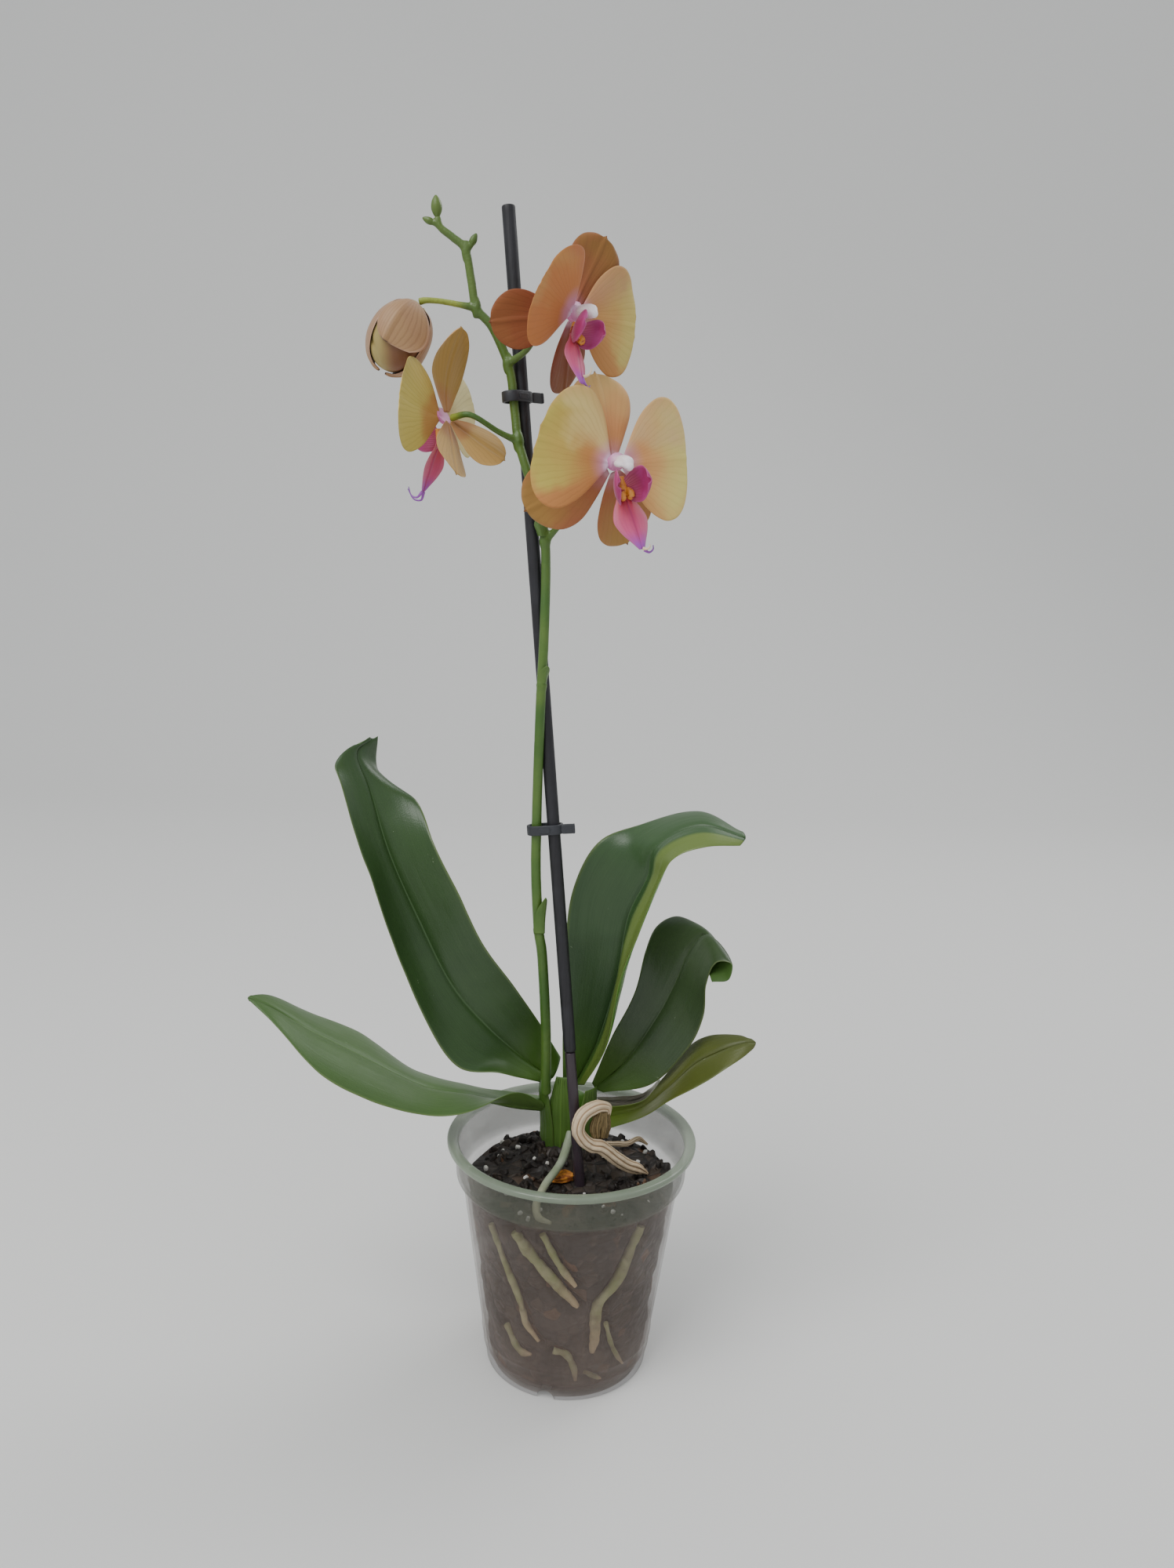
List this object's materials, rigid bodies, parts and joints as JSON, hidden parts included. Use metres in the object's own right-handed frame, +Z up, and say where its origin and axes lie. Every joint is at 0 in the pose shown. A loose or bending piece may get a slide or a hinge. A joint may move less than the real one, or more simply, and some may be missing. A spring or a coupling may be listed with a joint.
{
  "type": "potted orchid",
  "caption": "Moth orchid in a clear round nursery pot of bark mix, with strap leaves, loose roots and one leaning flower spike clipped to a dark stake.",
  "frame": {"origin": "centre of the pot's underside, on the surface it stands on", "axes": "+Z up, -Y the front, from which the flower spike leans to the left, +X the side that the arching leaf reaches to"},
  "size_m": [0.2392, 0.12, 0.535],
  "materials": {
    "clear_plastic": "gloss",
    "stake_sleeve": "matte",
    "stake_rod": "satin",
    "sepal": "matte",
    "petal": "matte",
    "lip": "satin",
    "column": "satin",
    "stem": "satin",
    "clip_plastic": "matte",
    "leaf": "satin",
    "fresh_root": "matte",
    "bark_mix": "matte",
    "dry_root": "matte",
    "bark_chip": "matte",
    "bud": "matte"
  },
  "bodies": {
    "root": {"pot": "clear_plastic", "stake": "stake_sleeve", "stake_foot": "stake_rod", "upper_flower_dorsal_sepal": "sepal", "upper_flower_left_lateral_sepal": "sepal", "upper_flower_left_petal": "petal", "upper_flower_right_lateral_sepal": "sepal", "upper_flower_right_petal": "petal", "upper_flower_lip": "lip", "upper_flower_column": "column", "lower_flower_dorsal_sepal": "sepal", "lower_flower_left_lateral_sepal": "sepal", "lower_flower_left_petal": "petal", "lower_flower_right_lateral_sepal": "sepal", "lower_flower_right_petal": "petal", "lower_flower_lip": "lip", "lower_flower_column": "column", "left_flower_dorsal_sepal": "sepal", "left_flower_left_lateral_sepal": "sepal", "left_flower_left_petal": "petal", "left_flower_right_lateral_sepal": "sepal", "left_flower_right_petal": "petal", "left_flower_lip": "lip", "left_flower_column": "column", "flower_spike": "stem", "lower_bract": "stem", "middle_bract": "stem", "upper_bract": "stem", "upper_clip": "clip_plastic", "lower_clip": "clip_plastic", "left_low_leaf": "leaf", "left_upright_leaf": "leaf", "right_arching_leaf": "leaf", "right_curled_leaf": "leaf", "right_low_leaf": "leaf", "crown": "stem", "left_slim_wall_root": "fresh_root", "broad_green_wall_root": "fresh_root", "middle_slim_wall_root": "fresh_root", "right_broad_wall_root": "fresh_root", "right_slim_wall_root": "fresh_root", "front_hook_wall_root": "fresh_root", "front_low_wall_root": "fresh_root", "left_low_wall_root": "fresh_root", "growing_medium": "bark_mix", "dry_root": "dry_root", "grey_root": "fresh_root", "thin_root": "dry_root", "bark_chip": "bark_chip", "papery_sheath": "dry_root", "bud_front_sepal": "bud", "bud_right_sepal": "bud", "bud_left_sepal": "bud", "bud_petals": "petal", "tip_bud": "stem", "right_side_bud": "stem", "left_side_bud": "stem"}
  },
  "joints": []
}
